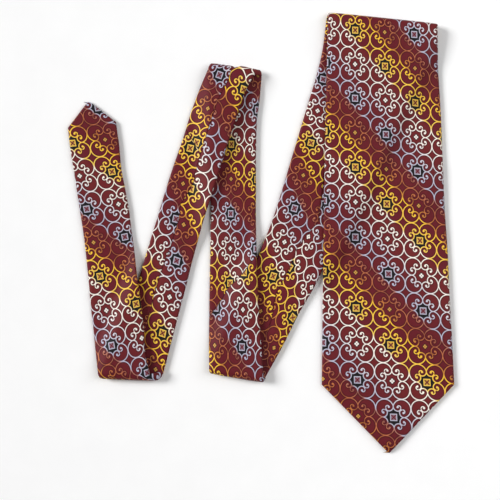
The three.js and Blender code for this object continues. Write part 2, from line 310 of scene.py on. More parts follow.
def outside(poly, p):
    """Distance of each point outside a polygon, nought inside it."""
    a, b = poly, np.roll(poly, -1, 0)
    d = b - a
    ap = p[:, None, :] - a[None]
    t = np.clip((ap * d).sum(-1) / (d * d).sum(-1), 0, 1)
    dist = np.linalg.norm(ap - t[..., None] * d, axis=-1).min(1)
    cross = (a[None, :, 1] > p[:, None, 1]) != (b[None, :, 1] > p[:, None, 1])
    dy = np.where(np.abs(d[:, 1]) < 1e-9, 1e-9, d[:, 1])
    x = d[None, :, 0] * (p[:, None, 1] - a[None, :, 1]) / dy[None] + a[None, :, 0]
    inside = (cross & (p[:, None, 0] < x)).sum(1) % 2 == 1
    return np.where(inside, 0.0, dist)


def outline(run):
    rows = stations(run, 9.0)
    return np.vstack([rows[:, :2], rows[::-1, 2:]])


# what each upper run lies over, its fold, and how high it lies there
UNDER = {"blade_end": ("upper_blade", "blade_fold", 4.7), "neck_run": ("upper_blade", "neck_fold", 4.8),
         "tail_run": ("neck_run", "tail_fold", 6.0), "tail_end": ("tail_run", "tail_end_fold", 5.8)}
OUTLINES = {run: outline(run) for run in ("upper_blade", "neck_run", "tail_run")}
LOOP_AT = np.array([101.3, 39.4])
LOOP_HALF = 30.0
LOOP_TALL = 14.0


def sway(xy):
    """The slight unevenness of soft cloth on a table, the same in every layer."""
    x, y = xy[:, 0], xy[:, 1]
    return 0.16 * np.sin(x / 23.0 + y / 61.0 + 0.7) + 0.12 * np.sin(y / 17.0 - x / 47.0 + 2.0)


def floor_height(run, xy):
    """Height of a run's underside."""
    z = sway(xy)
    if run in UNDER:
        below, fold, over = UNDER[run]
        at, out = FOLD_AT[fold]
        away = np.maximum(0, -(xy - at) @ out)
        z = z + over * (1 - ease(0, 15, outside(OUTLINES[below], xy))) + (6.0 - over) * np.exp(-away / 18.0)
    if run == "blade_end":
        dx = np.maximum(0, np.abs(xy[:, 0] - LOOP_AT[0]) - LOOP_HALF - 3)
        dy = np.maximum(0, np.abs(xy[:, 1] - LOOP_AT[1]) - LOOP_TALL / 2 - 2)
        z = z + 1.25 * (1 - ease(0, 24, np.hypot(dx, dy)))
    return z


def place(r, q, h):
    """Points of a section: q across from the middle, h in from the silk's face."""
    q, h = np.asarray(q, float), np.asarray(h, float)
    mid, lat = r.frame()
    xy = mid + q[:, None] * lat
    if r.fold is None:
        z = floor_height(r.run, xy) + (THICK - h if FACE_UP[r.run] else h) * r.tau
        return np.column_stack([xy, z])
    out, face_out = np.array(FOLDS[r.fold][2]), FOLDS[r.fold][3]
    rad = RING - h if face_out else RING - THICK + h
    s, c = math.sin(r.phi), math.cos(r.phi)
    (on_left, on_right), more = CORNERS[r.fold][:2]
    size = np.where(q < 0, on_left, on_right)
    corner = np.clip((np.abs(q) - (r.w - size)) / size, 0, 1)
    reach = (rad + more - size * (1 - np.sqrt(1 - corner**2))) * s
    if r.fold == "tail_fold":
        # the two flaps part a little where the seam goes over the fold
        near = np.exp(-((q - r.c - 0.3) / 1.6) ** 2)
        reach = reach - 1.3 * near * s * (h > 1.7)
        reach = reach + 0.9 * ease(0, 3, q - r.c) * (1 - ease(6, 18, q - r.c)) * s * (h > 1.7)
    plan = xy + reach[:, None] * out
    return np.column_stack([plan, RING - rad * c + sway(xy)])


def place_between(f, q, h):
    """The same at a place between two rings: f counts rings, and can have a fraction."""
    i = int(np.clip(math.floor(f), 0, NR - 2))
    k = f - i
    return place(rings[i], q, h) * (1 - k) + place(rings[i + 1], q, h) * k


def ring_near(run, xy):
    """The place along a run, counted in rings, of the section through a point."""
    xy = np.array(xy, float)
    best, at = 1e9, first_ring[run]
    for i in range(first_ring[run], last_ring[run]):
        (m0, l0), (m1, l1) = rings[i].frame(), rings[i + 1].frame()
        n0, n1 = np.array([-l0[1], l0[0]]), np.array([-l1[1], l1[0]])
        d0, d1 = (xy - m0) @ n0, (xy - m1) @ n1
        if d0 * d1 <= 0 and abs(d0) + abs(d1) < best:
            best, at = abs(d0) + abs(d1), i + abs(d0) / max(1e-9, abs(d0) + abs(d1))
    return at


# Where the flaps meet, how far they are open, and how thick the tie is.
for run, line in CENTRE_SEAM.items():
    line = np.array(line)
    got = {}
    for i in range(first_ring[run], last_ring[run] + 1):
        mid, lat = rings[i].frame()
        n = np.array([-lat[1], lat[0]])
        d = (line - mid) @ n
        for k in range(len(line) - 1):
            if d[k] * d[k + 1] <= 0:
                t = abs(d[k]) / max(1e-9, abs(d[k]) + abs(d[k + 1]))
                got[i] = float(((line[k] + (line[k + 1] - line[k]) * t) - mid) @ lat)
                break
    keys = sorted(got)
    known = [first_ring[run]] + keys + [last_ring[run]]
    values = [0.0 if run == "upper_blade" else got[keys[0]]] + [got[k] for k in keys] + [0.0]
    for i in range(first_ring[run], last_ring[run] + 1):
        rings[i].c = float(np.interp(i, known, values))
for i, r in enumerate(rings):
    if r.fold is not None:
        j0 = max(k for k in range(i) if rings[k].fold is None)
        j1 = min(k for k in range(i, NR) if rings[k].fold is None)
        r.c = float(np.interp(i, [j0, j1], [rings[j0].c, rings[j1].c]))
for run, shoulder_row, tip_row, hem, reach in (("blade_end", 1, 0, 12.0, 52.0), ("tail_end", -2, -1, 7.0, 30.0)):
    sh, tip = np.array(RAILS[run][shoulder_row]), np.array(RAILS[run][tip_row])
    sh_mid, tip_mid = (sh[:2] + sh[2:]) / 2, (tip[:2] + tip[2:]) / 2
    length = np.linalg.norm(sh_mid - tip_mid)
    w_sh = np.linalg.norm(sh[2:] - sh[:2]) / 2
    axis = (sh_mid - tip_mid) / length
    for i in range(first_ring[run], last_ring[run] + 1):
        r = rings[i]
        along = (r.frame()[0] - tip_mid) @ axis
        if along < length:
            r.g = (w_sh - hem) * along / length + 0.25 * (1 - along / length)
            r.tau = float(np.clip(0.25 + r.w / 6.0, 0.25, 1))
        else:
            r.g = float(max(0.0, (w_sh - hem) * (1 - (along - length) / reach)))

# --------------------------------------------------------------- sections

NF, NE, NC = 13, 6, 27
FREE = np.array([0, 0.012, 0.03, 0.05, 0.075, 0.1, 0.135, 0.19, 0.28, 0.4, 0.57, 0.78, 1.0])
ANG = np.pi * np.arange(1, NE + 1) / (NE + 1)
J_LF, J_LE, J_F, J_RE = NF - 1, NF + NE, NF + NE + NC - 1, NF + 2 * NE + NC
NS = 2 * NF + 2 * NE + NC


def section(r):
    """Outer and inner outline of the silk, and its unrolled widths."""
    T, w = THICK, r.w
    rl = min(ROUND, 0.5 * w)
    e = w - rl
    wl = min(SILK, 0.5 * rl)
    arc = 1.46 * rl
    closed = 1 - float(ease(0, 2.0, r.g))
    cl, cr = max(r.c - r.g, -e + 0.05), min(r.c + r.g, e - 0.05)
    q_lf = cl + (-e - cl) * FREE
    h_lf = T - 0.22 * (1 - ease(0, 0.8, cl - q_lf))
    end = cr - OVERLAP * closed
    q_rf = end + (e - end) * FREE
    past = q_rf - cr
    h_rf = T - 0.56 * closed * (1 - ease(0.3, 4.2, past)) - 0.22 * (1 - closed) * (1 - ease(0, 0.8, past))
    q_f = np.linspace(-e, e, NC)
    crown = 0.30 * ease(w - 14, w, np.abs(q_f)) * min(1.0, w / 20)
    s, c = np.sin(ANG), np.cos(ANG)
    q_o = np.concatenate([q_lf, -e - rl * s, q_f, e + rl * s, q_rf[::-1]])
    h_o = np.concatenate([h_lf, T / 2 + T / 2 * c, crown, T / 2 - T / 2 * c, h_rf[::-1]])
    h_e = np.concatenate([np.zeros(NF), crown[0] * (1 - c) / 2, np.zeros(NC), crown[-1] * (1 + c) / 2, np.zeros(NF)])
    h_o = h_o + h_e
    q_i = np.concatenate([q_lf, -e - (rl - wl) * s, q_f, e + (rl - wl) * s, q_rf[::-1]])
    h_i = np.concatenate([h_lf - SILK, T / 2 + (T / 2 - SILK) * c, crown + SILK, T / 2 - (T / 2 - SILK) * c, h_rf[::-1] - SILK]) + h_e
    a = ANG / np.pi
    face = np.concatenate([-(2 * e + 2 * arc) - q_lf, -e - 2 * arc * (1 - a), q_f, e + 2 * arc * a, (2 * e + 2 * arc) - q_rf[::-1]])
    left = np.concatenate([q_lf, -e - 2 * arc * a, -(2 * e + 2 * arc) - q_f, -(3 * e + 2 * arc) - 2 * arc * a,
                           -(4 * e + 4 * arc) + q_rf[::-1]])
    right = np.concatenate([(4 * e + 4 * arc) + q_lf, (3 * e + 2 * arc) + 2 * arc * (1 - a), (2 * e + 2 * arc) - q_f,
                            e + 2 * arc * (1 - a), q_rf[::-1]])
    return q_o, h_o, q_i, h_i, face, left, right


outer, inner, spread = [], [], {"face": [], "left": [], "right": []}
for r in rings:
    q_o, h_o, q_i, h_i, f, l, rr = section(r)
    outer.append(place(r, q_o, h_o))
    inner.append(place(r, q_i, h_i))
    spread["face"].append(f)
    spread["left"].append(l)
    spread["right"].append(rr)
tube = np.concatenate([np.array(outer), np.array(inner)[:, ::-1]], axis=1)     # NR x 2NS x 3
spread = {k: np.array(v) for k, v in spread.items()}

# ---------------------------------------------------- the weave's lattice


def terms(kind, xy):
    x, y = xy[..., 0] / 100, xy[..., 1] / 100
    one = np.ones_like(x)
    if kind == "quad":
        return np.stack([one, x, y, x * x, x * y, y * y], -1)
    if kind == "bend":
        return np.stack([one, x, y, y * y], -1)
    return np.stack([one, x, y], -1)


def lattice(name, xy):
    kind, pts = CELLS[name]
    pts = np.array(pts, float)
    k, *_ = np.linalg.lstsq(terms(kind, pts[:, :2]), pts[:, 2:], rcond=None)
    return terms(kind, xy) @ k


def unrolled(side, level):
    """Plan places of every outline point with the cloth laid out flat next to one run."""
    out = np.empty((NR, NS, 2))
    for i, r in enumerate(rings):
        if r.fold is None:
            a, b = r.a, r.b
        else:
            d = np.array(FOLDS[r.fold][2])
            ends, far = (r.up, math.pi - r.phi) if level == "up" else (r.low, r.phi)
            a, b = np.array(ends[0]) + d * far * RING, np.array(ends[1]) + d * far * RING
        mid, lat = r.frame(a, b)
        out[i] = mid + spread[side][i][:, None] * lat
    return out


PLAN = {(s, l): unrolled(s, l) for s in ("face", "left", "right") for l in ("up", "low")}
SIDE = {"S5": "face", "S1": "face", "S3U": "face", "S3L": "face", "S2LU": "left", "S2LL": "left", "S4L": "left",
        "S2R": "right", "S4R": "right"}
UV = {(n, l): lattice(n, PLAN[SIDE[n], l]) for n in CELLS for l in ("up", "low")}


def seam_distance(run, xy):
    """Signed distance from a piecing seam, positive on the tail or blade side below it."""
    (x0, y0), (x1, y1) = PIECING[run]
    length = math.hypot(x1 - x0, y1 - y0)
    d = np.array([x1 - x0, y1 - y0]) / length
    away = (xy - np.array([x0, y0])) @ np.array([d[1], -d[0]])
    if run == "neck_run":
        # this seam bows a little on its way across
        along = (xy - np.array([x0, y0])) @ d / length
        away = away + 2.0 * np.exp(-((along - 0.43) / 0.12) ** 2)
    return away


SEAM = {}
for level in ("up", "low"):
    s = seam_distance("neck_run", PLAN["face", level])
    SEAM["neck_run", level] = s
    s = seam_distance("tail_run", PLAN["left", level])
    SEAM["tail_run", level] = s if seam_distance("tail_run", np.array([[-80.0, 40.0]]))[0] > 0 else -s


def panel(run, part):
    """Lattices on one part of a run's outline: the upper panel's, the lower one's, and whose seam parts them."""
    if run == "blade_end":
        return "S5", "S5", None
    if run == "tail_end":
        return "S1", "S1", None
    if run == "neck_run":
        return "S3U", "S3L", "neck_run"
    if run == "upper_blade":
        return ("S4L", "S4L", None) if part in ("LF", "LE") else ("S4R", "S4R", None)
    return ("S2LU", "S2LL", "tail_run") if part in ("LF", "LE") else ("S2R", "S2R", None)


def part_of(j):
    return "LF" if j < J_LF else "LE" if j < J_LE else "F" if j < J_F else "RE" if j < J_RE else "RF"


PARTS = [part_of(j) for j in range(NS - 1)]


def cloth_of(i, j):
    """Which run's cloth, and from which end of a fold, the outline between rings i and i + 1 belongs to."""
    r = rings[i] if rings[i].fold is not None else rings[i + 1]
    if r.fold is None:
        return r.run, "up"
    low, up, _, face_out = FOLDS[r.fold]
    phi = (rings[i].phi if rings[i].fold else (0 if rings[i].run == low else math.pi))
    phj = (rings[i + 1].phi if rings[i + 1].fold else (0 if rings[i + 1].run == low else math.pi))
    mean = (phi + phj) / 2
    outer_side = (PARTS[j] in ("F", "LE", "RE")) if face_out else (PARTS[j] in ("LF", "RF", "LE", "RE"))
    return (up, "up") if mean > (0.3 if outer_side else math.pi / 2) else (low, "low")


# ------------------------------------------------------------------ meshes


def vertex_normals(verts, faces):
    v = verts[faces]
    n = np.cross(v[:, 2] - v[:, 0], v[:, 3] - v[:, 1])
    out = np.zeros_like(verts)
    for k in range(4):
        np.add.at(out, faces[:, k], n)
    return out / np.maximum(1e-12, np.linalg.norm(out, axis=1))[:, None]


def volume(verts, faces):
    v = verts[faces]
    return (np.einsum("ij,ij->i", v[:, 0], np.cross(v[:, 1], v[:, 2]))
            + np.einsum("ij,ij->i", v[:, 0], np.cross(v[:, 2], v[:, 3]))).sum() / 6


def sweep_faces(n, m):
    """Quads round n closed outlines of m points."""
    i, j = np.meshgrid(np.arange(n - 1), np.arange(m), indexing="ij")
    k = (j + 1) % m
    return np.stack([i * m + j, (i + 1) * m + j, (i + 1) * m + k, i * m + k], -1).reshape(-1, 4)


tube_verts = tube.reshape(-1, 3)
tube_faces = sweep_faces(NR, 2 * NS)
FLIP = volume(tube_verts, tube_faces) < 0
tube_normals = vertex_normals(tube_verts, tube_faces) * (-1 if FLIP else 1)
tube_normals = tube_normals.reshape(NR, 2 * NS, 3)

MIDS = {run: (first_ring[run] + last_ring[run]) // 2 for run in ("upper_blade", "neck_run", "tail_run")}
LENGTHS = {
    "blade_end": (0, MIDS["upper_blade"], "blade_fold", ("upper_blade", "blade_end")),
    "upper_blade": (MIDS["upper_blade"], MIDS["neck_run"], "neck_fold", ("upper_blade", "neck_run")),
    "neck": (MIDS["neck_run"], MIDS["tail_run"], "tail_fold", ("neck_run", "tail_run")),
    "tail_end": (MIDS["tail_run"], NR - 1, "tail_end_fold", ("tail_run", "tail_end")),
}
SPREAD_OVER = 33.0


def turning(fold, index, xy):
    """How far each point has gone over to the run above the fold, nought to one."""
    low, up, out, _ = FOLDS[fold]
    at, out = FOLD_AT[fold]
    s = np.empty(len(index))
    away = np.maximum(0, -(xy - at) @ out)
    for k, i in enumerate(index):
        r = rings[i]
        if r.fold == fold:
            s[k] = (r.phi - math.pi / 2) * 3.0
        else:
            s[k] = (4.71 + away[k]) * (1 if r.run == up else -1)
    return ease(-SPREAD_OVER / 2, SPREAD_OVER / 2, s)


def make(name, verts, faces, material, smooth=True):
    mesh = bpy.data.meshes.new(name)
    mesh.from_pydata((np.asarray(verts) * MM).tolist(), [], [list(map(int, f)) for f in faces])
    mesh.update()
    if smooth:
        mesh.polygons.foreach_set("use_smooth", [True] * len(mesh.polygons))
    mesh.materials.append(material)
    obj = bpy.data.objects.new(name, mesh)
    bpy.context.scene.collection.objects.link(obj)
    return obj


def bend_with(obj, fold, index, xy):
    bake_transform(obj)
    turning(fold, index, xy).astype(np.float32)


def caps(n, m, first=True):
    """Faces that close both ends of a sweep whose outline is a doubled line."""
    out = []
    half = m // 2
    for j in range(half - 1):
        out.append([j, j + 1, m - 2 - j, m - 1 - j])
        b = (n - 1) * m
        out.append([b + m - 1 - j, b + m - 2 - j, b + j + 1, b + j])
    return out


def silk_length(name, material):
    i0, i1, fold, bodies = LENGTHS[name]
    n, m = i1 - i0 + 1, 2 * NS
    verts = tube[i0:i1 + 1].reshape(-1, 3)
    body_faces = sweep_faces(n, m)
    end_faces = np.array(caps(n, m))
    v = verts[body_faces]
    faces = np.vstack([body_faces, end_faces])
    if FLIP:
        faces = faces[:, ::-1]
    obj = make("silk_" + name, verts, faces, material)
    mesh = obj.data
    # the lattice, face by face
    uv_a = np.zeros((len(faces), 4, 2))
    uv_b = np.zeros((len(faces), 4, 2))
    uv_s = np.full((len(faces), 4, 2), -9.0)
    f = 0
    order = [0, 1, 2, 3]
    for i in range(i0, i1):
        for j in range(m):
            if j < NS - 1:
                jj, kk = j, j + 1
            elif NS <= j < 2 * NS - 1:
                jj, kk = 2 * NS - 1 - j, 2 * NS - 2 - j
            else:
                jj = kk = NS - 1 if j == NS - 1 else 0
            p = min(jj, kk, NS - 2)
            run, level = cloth_of(i, p)
            a, b, seam = panel(run, PARTS[p])
            corners = ((i, jj), (i + 1, jj), (i + 1, kk), (i, kk))
            if FLIP:
                corners = corners[::-1]
            for c, (ri, sj) in enumerate(corners):
                uv_a[f, c] = UV[a, level][ri, sj]
                uv_b[f, c] = UV[b, level][ri, sj]
                if seam:
                    uv_s[f, c] = (SEAM[seam, level][ri, sj], 0)
            f += 1
    for title, values in (("Weave", uv_a), ("WeaveB", uv_b), ("Seam", uv_s)):
        layer = mesh.uv_layers.new(name=title)
        layer.uv.foreach_set("vector", values.reshape(-1).astype(np.float32))
    mesh.normals_split_custom_set_from_vertices(tube_normals[i0:i1 + 1].reshape(-1, 3).tolist())
    index = np.repeat(np.arange(i0, i1 + 1), m)
    bend_with(obj, fold, index, verts[:, :2])
    return obj


def swept(name, material, i0, i1, outline_of, fold=None, body=None):
    """Sweeps a closed outline along the strip. outline_of gives q and h for a ring."""
    rows = [place(rings[i], *outline_of(rings[i], i)) for i in range(i0, i1 + 1)]
    m = len(rows[0])
    verts = np.vstack(rows)
    faces = sweep_faces(len(rows), m)
    flip = volume(verts, faces) < 0
    faces = [list(f[::-1]) if flip else list(f) for f in faces]
    a, b = list(range(m)), [(len(rows) - 1) * m + k for k in range(m)]
    faces += [a, b[::-1]] if flip else [a[::-1], b]
    # the end faces' turn follows the sides'
    obj = make(name, verts, faces, material)
    obj.data.validate()
    fix_normals(obj)
    if fold:
        bend_with(obj, fold, np.repeat(np.arange(i0, i1 + 1), m), verts[:, :2])
    else:
        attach(obj, body)
    return obj


def fix_normals(obj):
    import bmesh
    bm = bmesh.new()
    bm.from_mesh(obj.data)
    bmesh.ops.recalc_face_normals(bm, faces=bm.faces)
    bm.to_mesh(obj.data)
    bm.free()


def tube_through(points, radius, sides=7):
    """Vertices and faces of a round thread through points, in millimetres."""
    p = np.asarray(points, float)
    t = np.gradient(p, axis=0)
    t /= np.linalg.norm(t, axis=1)[:, None]
    ref = np.array([0.0, 0.0, 1.0])
    verts, n = [], len(p)
    for k in range(n):
        side = np.cross(t[k], ref)
        if np.linalg.norm(side) < 1e-6:
            side = np.array([1.0, 0, 0])
        side /= np.linalg.norm(side)
        up = np.cross(side, t[k])
        rr = radius * (0.45 if k in (0, n - 1) else 1.0)
        for a in range(sides):
            ang = 2 * math.pi * a / sides
            verts.append(p[k] + rr * (math.cos(ang) * side + math.sin(ang) * up))
    faces = sweep_faces(n, sides).tolist()
    faces.append(list(range(sides))[::-1])
    faces.append([(n - 1) * sides + a for a in range(sides)])
    return verts, faces


def join_tubes(name, material, lines, radius, sides=7):
    verts, faces = [], []
    for line in lines:
        v, f = tube_through(line, radius, sides)
        base = len(verts)
        verts += v
        faces += [[base + k for k in face] for face in f]
    obj = make(name, verts, faces, material)
    fix_normals(obj)
    return obj


# --------------------------------------------------------------- materials


def colour(r, g, b):
    """An sRGB colour, 0 to 255, as the linear one that shaders take."""
    def lin(v):
        v = v / 255
        return v / 12.92 if v <= 0.04045 else ((v + 0.055) / 1.055) ** 2.4
    return (lin(r), lin(g), lin(b), 1.0)


class Shader:
    """Short names for the nodes of one material."""

    def __init__(self, name):
        self.material = bpy.data.materials.new(name)
        self.material.use_nodes = True
        self.tree = self.material.node_tree
        self.tree.nodes.clear()
        self.out = self.tree.nodes.new("ShaderNodeOutputMaterial")
        self.bsdf = self.tree.nodes.new("ShaderNodeBsdfPrincipled")
        self.link(self.bsdf.outputs[0], self.out.inputs[0])

    def link(self, a, b):
        self.tree.links.new(a, b)

    def put(self, socket, value):
        if isinstance(value, bpy.types.NodeSocket):
            self.link(value, socket)
        else:
            socket.default_value = value

    def math(self, op, a, b=None, c=None):
        n = self.tree.nodes.new("ShaderNodeMath")
        n.operation = op
        for s, v in zip(n.inputs, (a, b, c)):
            if v is not None:
                self.put(s, v)
        return n.outputs[0]

    def uv(self, name):
        n = self.tree.nodes.new("ShaderNodeUVMap")
        n.uv_map = name
        return n.outputs[0]

    def place(self):
        return self.tree.nodes.new("ShaderNodeTexCoord").outputs["Object"]

    def split(self, v):
        n = self.tree.nodes.new("ShaderNodeSeparateXYZ")
        self.put(n.inputs[0], v)
        return n.outputs

    def join(self, x, y, z=0.0):
        n = self.tree.nodes.new("ShaderNodeCombineXYZ")
        for s, v in zip(n.inputs, (x, y, z)):
            self.put(s, v)
        return n.outputs[0]

    def away(self, v, point):
        n = self.tree.nodes.new("ShaderNodeVectorMath")
        n.operation = "DISTANCE"
        self.put(n.inputs[0], v)
        n.inputs[1].default_value = (point[0], point[1], 0)
        return n.outputs["Value"]

    def scale(self, v, k):
        n = self.tree.nodes.new("ShaderNodeVectorMath")
        n.operation = "SCALE"
        self.put(n.inputs[0], v)
        n.inputs["Scale"].default_value = k
        return n.outputs[0]

    def step(self, v, lo, hi, a=0.0, b=1.0):
        n = self.tree.nodes.new("ShaderNodeMapRange")
        n.interpolation_type = "SMOOTHSTEP"
        self.put(n.inputs["Value"], v)
        n.inputs["From Min"].default_value = lo
        n.inputs["From Max"].default_value = hi
        n.inputs["To Min"].default_value = a
        n.inputs["To Max"].default_value = b
        return n.outputs[0]

    def under(self, v, edge, soft=0.006):
        return self.step(v, edge - soft, edge + soft, 1.0, 0.0)

    def mix(self, k, a, b, blend="MIX"):
        n = self.tree.nodes.new("ShaderNodeMix")
        n.data_type = "RGBA"
        n.blend_type = blend
        self.put(n.inputs[0], k)
        self.put(n.inputs[6], a)
        self.put(n.inputs[7], b)
        return n.outputs[2]

    def mix_vector(self, k, a, b):
        n = self.tree.nodes.new("ShaderNodeMix")
        n.data_type = "VECTOR"
        self.put(n.inputs[0], k)
        self.put(n.inputs[4], a)
        self.put(n.inputs[5], b)
        return n.outputs[1]

    def ramp(self, k, stops):
        n = self.tree.nodes.new("ShaderNodeValToRGB")
        e = n.color_ramp.elements
        while len(e) > 1:
            e.remove(e[-1])
        e[0].position, e[0].color = stops[0]
        for at, c in stops[1:]:
            e.new(at).color = c
        self.put(n.inputs[0], k)
        return n.outputs[0]

    def noise(self, v, scale, detail=2.0, rough=0.5):
        n = self.tree.nodes.new("ShaderNodeTexNoise")
        n.inputs["Scale"].default_value = scale
        n.inputs["Detail"].default_value = detail
        n.inputs["Roughness"].default_value = rough
        self.put(n.inputs["Vector"], v)
        return n.outputs[0]

    def bump(self, height, strength, distance):
        n = self.tree.nodes.new("ShaderNodeBump")
        n.inputs["Strength"].default_value = strength
        n.inputs["Distance"].default_value = distance
        self.put(n.inputs["Height"], height)
        self.link(n.outputs[0], self.bsdf.inputs["Normal"])

    def uniform(self, **values):
        for k, v in values.items():
            self.bsdf.inputs[k.replace("_", " ")].default_value = v


def twill(s, v, threads):
    """Fine warp and weft, as a height from 0 to 1. threads is how many there are to a cell."""
    x, y, _ = s.split(v)
    p = s.math("MULTIPLY", s.math("ADD", x, y), threads * 2 * math.pi)
    q = s.math("MULTIPLY", s.math("SUBTRACT", x, y), threads * 2 * math.pi)
    a = s.math("SINE", p)
    b = s.math("SINE", s.math("ADD", q, s.math("MULTIPLY", p, 0.5)))
    return s.math("ADD", s.math("MULTIPLY", s.math("MULTIPLY", a, b), 0.35), 0.5)


def silk_material():
    s = Shader("woven_silk")
    sd = s.split(s.uv("Seam"))[0]
    uv = s.mix_vector(s.math("GREATER_THAN", sd, 0.0), s.uv("Weave"), s.uv("WeaveB"))
    u, v, _ = s.split(uv)
    cu, cv = s.math("ROUND", u), s.math("ROUND", v)
    x = s.math("ABSOLUTE", s.math("SUBTRACT", u, cu))
    y = s.math("ABSOLUTE", s.math("SUBTRACT", v, cv))
    a, b = s.math("MAXIMUM", x, y), s.math("MINIMUM", x, y)
    ba = s.join(b, a)
    state = s.math("FLOORED_MODULO", s.math("ADD", s.math("SUBTRACT", cv, cu), 0.001), 4.0)
    band = s.math("DIVIDE", s.math("FLOORED_MODULO", s.math("ADD", s.math("SUBTRACT", v, u), 0.65), 4.0), 4.0)

    def ring(at, radius, *stops):
        d = s.math("ABSOLUTE", s.math("SUBTRACT", s.away(ba, at), radius))
        for value, op, edge in stops:
            d = s.math("ADD", d, s.math(op, value, edge))
        return d

    lines = [
        ring((0.243, 0.243), 0.252, (a, "LESS_THAN", 0.25)),
        ring((0.127, 0.30), 0.127, (b, "GREATER_THAN", 0.127), (a, "GREATER_THAN", 0.30)),
        ring((0.127, 0.255), 0.083, (b, "LESS_THAN", 0.127), (a, "GREATER_THAN", 0.255)),
        ring((0.16, 0.27), 0.052, (a, "LESS_THAN", 0.265)),
        s.math("SUBTRACT", s.away(ba, (0.126, 0.284)), 0.017),
    ]
    d = lines[0]
    for other in lines[1:]:
        d = s.math("MINIMUM", d, other)
    # the copper yarn floats thinly and sinks into the ground here and there
    coppery = s.math("MULTIPLY", s.step(band, 0.735, 0.75), s.step(band, 0.90, 0.985, 1.0, 0.0))
    sunk = s.step(s.noise(uv, 4.1, 3.0, 0.6), 0.42, 0.62)
    pale = s.math("MULTIPLY", s.step(band, 0.22, 0.26), s.step(band, 0.72, 0.74, 1.0, 0.0))
    thin = s.math("ADD", s.math("MULTIPLY", coppery, 0.0030), s.math("MULTIPLY", pale, 0.0012))
    line = s.under(s.math("ADD", d, thin), 0.0152, 0.0045)
    line = s.math("MULTIPLY", line, s.math("SUBTRACT", 1.0, s.math("MULTIPLY", coppery, s.math("ADD", 0.02, s.math("MULTIPLY", sunk, 0.52)))))
    # painted shade: a dark border round each line, standing for the shadow the raised floats throw on the ground
    relief_shadow_rim = s.under(d, 0.041, 0.016)

    gold, cream, silver = colour(250, 197, 58), colour(252, 244, 230), colour(194, 190, 206)
    copper = colour(194, 112, 66)
    line_colour = s.ramp(band, [
        (0.0, gold), (0.215, colour(246, 204, 92)), (0.245, cream), (0.42, colour(240, 233, 226)), (0.50, colour(220, 216, 222)),
        (0.60, silver), (0.725, colour(184, 184, 204)), (0.745, colour(182, 120, 104)), (0.80, colour(186, 110, 80)), (0.88, copper),
        (0.975, colour(202, 134, 58)),
        (1.0, gold)])
    ground = s.ramp(band, [
        (0.0, colour(99, 27, 38)), (0.22, colour(103, 30, 40)), (0.26, colour(110, 37, 38)), (0.48, colour(107, 35, 38)),
        (0.60, colour(103, 33, 39)), (0.74, colour(103, 31, 37)), (1.0, colour(100, 27, 37))])
    black = colour(27, 25, 28)

    ab = s.math("ADD", a, b)
    even = s.math("COMPARE", s.math("MODULO", s.math("ADD", state, 0.5), 2.0), 0.5, 0.4)
    one = s.math("COMPARE", state, 1.0, 0.4)
    three = s.math("COMPARE", state, 3.0, 0.4)
    star = s.math("MAXIMUM", s.under(a, 0.167), s.under(ab, 0.243))
    dark = s.math("MULTIPLY", even, star)
    dark = s.math("MAXIMUM", dark, s.math("MULTIPLY", one, s.under(ab, 0.105)))
    dark = s.math("MAXIMUM", dark, s.math("MULTIPLY", three, s.under(ab, 0.090)))
    frame_line = s.math("MULTIPLY", even, s.under(s.math("ABSOLUTE", s.math("SUBTRACT", a, 0.087)), 0.0125))
    in_frame = s.math("MULTIPLY", even, s.under(a, 0.076))
    cross = s.math("MULTIPLY", in_frame, s.under(s.math("SUBTRACT", a, b), 0.024))
    white_petal = s.math("MULTIPLY", one, s.under(s.away(ba, (0.0, 0.040)), 0.029))
    brown_petal = s.math("MULTIPLY", three, s.under(s.away(ba, (0.0, 0.034)), 0.025))

    # the ground is darkened with painted shade beside the lines
    col = s.mix(s.math("MULTIPLY", relief_shadow_rim, 0.58), ground, colour(58, 18, 24))
    col = s.mix(dark, col, black)
    col = s.mix(in_frame, col, s.mix(s.math("ADD", 0.44, s.math("MULTIPLY", s.math("COMPARE", state, 2.0, 0.4), 0.26)), line_colour, colour(96, 28, 36)))
    col = s.mix(cross, col, colour(104, 30, 42))
    col = s.mix(frame_line, col, line_colour)
    col = s.mix(line, col, line_colour)
    col = s.mix(white_petal, col, colour(240, 232, 224))
    col = s.mix(brown_petal, col, colour(205, 150, 72))

    # threads: a little light and dark, and a little unevenness along the yarn
    weave = twill(s, uv, 52.0)
    slub = s.noise(s.join(s.math("MULTIPLY", s.math("ADD", u, v), 3.0), s.math("MULTIPLY", s.math("SUBTRACT", u, v), 60.0)), 1.0, 2.0)
    cloud = s.noise(s.place(), 26.0, 3.0)
    light = s.math("ADD", s.math("MULTIPLY", weave, 0.22), s.math("MULTIPLY", slub, 0.20))
    light = s.math("ADD", light, s.math("MULTIPLY", cloud, 0.16))
    light = s.math("ADD", light, 0.71)
    # painted shade: a dark line along each piecing seam, standing for the shade in its groove
    seam_groove_shade = s.under(s.math("ABSOLUTE", sd), 0.42, 0.3)
    light = s.math("MULTIPLY", light, s.math("SUBTRACT", 1.0, s.math("MULTIPLY", seam_groove_shade, 0.55)))
    col = s.mix(1.0, col, s.join(light, light, light), "MULTIPLY")
    s.put(s.bsdf.inputs["Base Color"], col)

    floats = s.math("MAXIMUM", line, s.math("MAXIMUM", frame_line, s.math("MAXIMUM", white_petal, brown_petal)))
    s.put(s.bsdf.inputs["Roughness"], s.math("ADD", s.math("MULTIPLY", floats, -0.10), s.math("ADD", s.math("MULTIPLY", weave, 0.12), 0.46)))
    height = s.math("ADD", s.math("MULTIPLY", weave, 0.5), s.math("MULTIPLY", floats, 0.8))
    height = s.math("ADD", height, s.math("MULTIPLY", slub, 0.3))
    height = s.math("SUBTRACT", height, s.math("MULTIPLY", s.under(s.math("ABSOLUTE", sd), 0.7, 0.6), 3.0))
    s.bump(height, 0.55, 0.00012)
    s.uniform(Specular_IOR_Level=0.12, Sheen_Weight=0.03, Sheen_Roughness=0.35)
    return s.material


